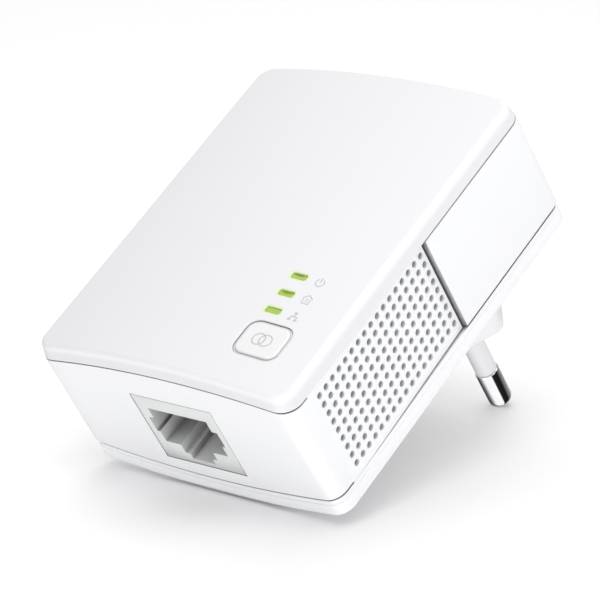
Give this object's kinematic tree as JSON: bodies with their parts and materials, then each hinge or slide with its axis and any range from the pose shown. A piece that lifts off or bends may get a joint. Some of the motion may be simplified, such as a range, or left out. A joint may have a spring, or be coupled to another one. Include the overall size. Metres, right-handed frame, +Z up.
{
  "type": "powerline adapter",
  "caption": "White plug-in powerline network adapter with a round-pin mains plug, a network socket, side grilles, status lights and a push button.",
  "frame": {"origin": "centre of the plug block end face, midway between the two pins, which is the face that meets the wall socket", "axes": "+Y along the pins into the wall socket, +Z up along the height of the body, +X to the right seen from the front"},
  "size_m": [0.052, 0.0573, 0.065],
  "materials": {
    "bare_aluminium": "bare, brushed",
    "bobbin_plastic": "phenolic moulding",
    "capacitor_sleeve": "shrink sleeve",
    "ceramic_white": "light chip body",
    "chip_epoxy": "moulded epoxy",
    "clear_sheet": "insulating film",
    "copper_coil": "enamelled copper wire",
    "dark_plastic": "black moulded plastic",
    "ferrite": "sintered ferrite",
    "film_capacitor": "yellow case",
    "fuse_plastic": "brown moulded case",
    "gold_contact": "gold plated",
    "green_board": "solder mask on glass laminate",
    "green_light_pipe": "clear light pipe, lit green",
    "jack_plastic": "light grey moulded plastic",
    "label_paper": "blank label",
    "nickel_pin": "polished nickel plating",
    "screw_steel": "zinc plated",
    "sleeve_plastic": "white insulating sleeve",
    "tinned_can": "pressed can",
    "varistor_coat": "dipped epoxy coat",
    "white_case_plastic": "white moulded plastic, fine satin",
    "white_cover_plastic": "white moulded plastic, satin to gloss"
  },
  "bodies": {
    "case": {"front_cover": "white_cover_plastic", "middle_housing": "white_case_plastic", "right_grille": "white_case_plastic", "left_grille": "white_case_plastic", "rear_cover": "white_cover_plastic", "plug_block": "white_case_plastic", "live_pin": "nickel_pin", "neutral_pin": "nickel_pin", "live_sleeve": "sleeve_plastic", "neutral_sleeve": "sleeve_plastic", "switch_body": "dark_plastic", "light_pipe": "green_light_pipe", "light_chips": "ceramic_white", "main_board": "green_board", "rj45_jack": "jack_plastic", "rj45_contacts": "gold_contact", "network_transformer": "dark_plastic", "main_chip": "chip_epoxy", "heat_spreader": "bare_aluminium", "memory_chip": "chip_epoxy", "flash_chip": "chip_epoxy", "port_chip": "chip_epoxy", "clock_crystal": "tinned_can", "link_socket": "dark_plastic", "link_header": "gold_contact", "power_board": "green_board", "fuse": "fuse_plastic", "surge_varistor": "varistor_coat", "mains_filter_capacitor": "film_capacitor", "mains_choke": "copper_coil", "bridge_rectifier": "chip_epoxy", "bulk_capacitors": "capacitor_sleeve", "transformer_core": "ferrite", "transformer_bobbin": "bobbin_plastic", "transformer_winding": "copper_coil", "power_controller": "chip_epoxy", "optocoupler": "chip_epoxy", "output_diode": "chip_epoxy", "output_capacitors": "capacitor_sleeve", "output_inductor": "ferrite", "line_coupling_transformer": "film_capacitor", "line_coupling_capacitors": "film_capacitor", "insulating_sheet": "clear_sheet", "main_board_screws": "screw_steel", "power_board_screws": "screw_steel", "rating_label": "label_paper"},
    "button": {"pair_button": "white_cover_plastic", "switch_plunger": "dark_plastic"}
  },
  "joints": [
    {"name": "button_press", "type": "slide", "parent": "case", "child": "button", "axis": [0, 1, 0], "range_m": [0, 0.0005], "stiffness_N_per_m": 400, "springref_m": -0.001}
  ]
}
